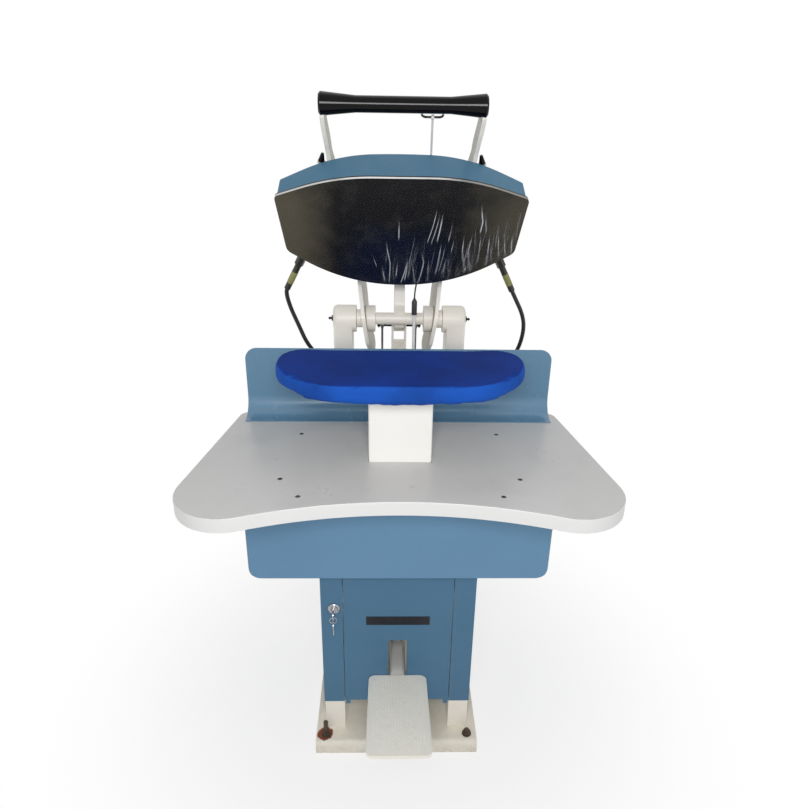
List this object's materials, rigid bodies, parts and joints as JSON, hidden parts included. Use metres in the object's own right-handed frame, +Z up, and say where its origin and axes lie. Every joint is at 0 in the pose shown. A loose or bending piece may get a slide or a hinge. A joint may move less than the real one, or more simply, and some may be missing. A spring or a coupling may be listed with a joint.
{
  "type": "steam press",
  "caption": "Pedal-operated laundry press with a padded buck on a column, a hinged steam head with a handle, a work table and a casing.",
  "frame": {"origin": "on the floor, under the middle of the base plate", "axes": "+Z up, -Y towards the operator, +X to the operator's right"},
  "size_m": [0.995, 0.8254, 1.6852],
  "materials": {
    "casing_blue": "satin blue enamel",
    "apron_blue": "satin blue enamel",
    "cream": "gloss cream enamel",
    "table_laminate": "light grey laminate on board, pale edge band",
    "pad_cloth": "royal blue cover cloth over felt",
    "insulation": "mineral wool",
    "platen": "cast, ground face and polished lip",
    "casting": "as cast",
    "steel": "bare machined steel",
    "zinc": "zinc plated",
    "bright": "bright plated",
    "bronze": "sintered bronze",
    "black_steel": "gloss black enamel",
    "white_steel": "gloss white enamel",
    "handle_black": "gloss black phenolic",
    "hose_rubber": "black steam hose",
    "black_rubber": "matt black",
    "pipe": "steam pipe, dull",
    "dark_plate": "dark, bare of print",
    "tread": "light grey, tread pattern"
  },
  "bodies": {
    "frame": {"base_plate": "cream", "levelling_bolts": "zinc", "left_post": "cream", "right_post": "cream", "left_upright": "cream", "right_upright": "cream", "bearing_bushes": "bronze", "grease_nipples": "black_steel", "support_frame": "cream", "left_side_panel": "casing_blue", "right_side_panel": "casing_blue", "front_panel": "casing_blue", "rear_panel": "casing_blue", "nameplate": "dark_plate", "panel_screws": "zinc", "key_switch": "bright", "table_top": "table_laminate", "table_screws": "zinc", "apron": "apron_blue", "back_panel": "casing_blue", "neck": "cream", "buck_casting": "casting", "buck_pad": "pad_cloth", "buck_pipes": "pipe", "pedal_stands": "cream", "stop_rubbers": "black_rubber", "steam_pipes": "pipe", "riser_fittings": "zinc", "spray_valve": "bronze", "left_hose": "hose_rubber", "right_hose": "hose_rubber", "trigger_cable": "black_rubber", "balance_springs": "steel"},
    "head": {"head_shoe": "platen", "head_cover": "casing_blue", "head_insulation": "insulation", "left_arm": "cream", "right_arm": "cream", "yoke_tube": "cream", "pivot_shaft": "steel", "cross_bars": "cream", "hanger_studs": "zinc", "centre_lever": "cream", "cross_pin": "black_steel", "handle_grip": "handle_black", "handle_screws": "zinc", "cap_bolts": "zinc", "cap_nuts": "handle_black", "hose_ends": "black_steel", "trigger_bracket": "black_steel"},
    "pedal": {"pedal_arm": "cream", "pedal_plate": "tread"},
    "push_rod": {"push_rod": "cream"},
    "spring_rods": {"spring_rods": "steel"},
    "trigger": {"steam_trigger": "black_steel"},
    "trigger_rod": {"trigger_rod": "white_steel"},
    "valve_rod": {"valve_rod": "white_steel"},
    "key": {"switch_key": "bright"},
    "key_ring": {"key_ring": "bright"}
  },
  "joints": [
    {"name": "head_pivot", "type": "hinge", "parent": "frame", "child": "head", "pos_m": [0, 0.156, 1.13], "axis": [1, 0, 0], "range_deg": [0, 66], "stiffness_Nm_per_rad": 70, "springref_deg": -34.38, "deforming": ["balance_springs", "left_hose", "right_hose", "trigger_cable"]},
    {"name": "pedal_pivot", "type": "hinge", "parent": "frame", "child": "pedal", "pos_m": [0, 0.04, 0.18], "axis": [1, 0, 0], "range_deg": [0, 22]},
    {"name": "push_rod_pin", "type": "hinge", "parent": "pedal", "child": "push_rod", "pos_m": [0, 0.20197, 0.14852], "axis": [1, 0, 0], "range_deg": [-22, 0]},
    {"name": "spring_rod_hang", "type": "hinge", "parent": "head", "child": "spring_rods", "pos_m": [0, 0.2038, 1.09896], "axis": [1, 0, 0], "range_deg": [-66, 0]},
    {"name": "trigger_pull", "type": "hinge", "parent": "head", "child": "trigger", "pos_m": [0.065, 0.03595, 1.64795], "axis": [-1, 0, 0], "range_deg": [0, 9]},
    {"name": "trigger_rod_slide", "type": "slide", "parent": "head", "child": "trigger_rod", "axis": [0, -0.4067, 0.9135], "range_m": [0, 0.0047]},
    {"name": "valve_rod_lift", "type": "slide", "parent": "frame", "child": "valve_rod", "axis": [0, 0, 1], "range_m": [0, 0.0047], "stiffness_N_per_m": 800, "springref_m": -0.004},
    {"name": "key_turn", "type": "hinge", "parent": "frame", "child": "key", "pos_m": [-0.166, -0.222, 0.466], "axis": [0, 1, 0], "range_deg": [0, 90]},
    {"name": "key_ring_swing", "type": "hinge", "parent": "key", "child": "key_ring", "pos_m": [-0.166, -0.242, 0.459], "axis": [1, 0, 0], "range_deg": [-30, 10]}
  ],
  "couplings": [
    {"joint": "pedal_pivot", "follows": "head_pivot", "ratio": 0.33333},
    {"joint": "push_rod_pin", "follows": "head_pivot", "ratio": -0.33333},
    {"joint": "spring_rod_hang", "follows": "head_pivot", "ratio": -1},
    {"joint": "trigger_rod_slide", "follows": "valve_rod_lift", "ratio": 1},
    {"joint": "trigger_pull", "follows": "valve_rod_lift", "rad_per_m": 33.333}
  ]
}
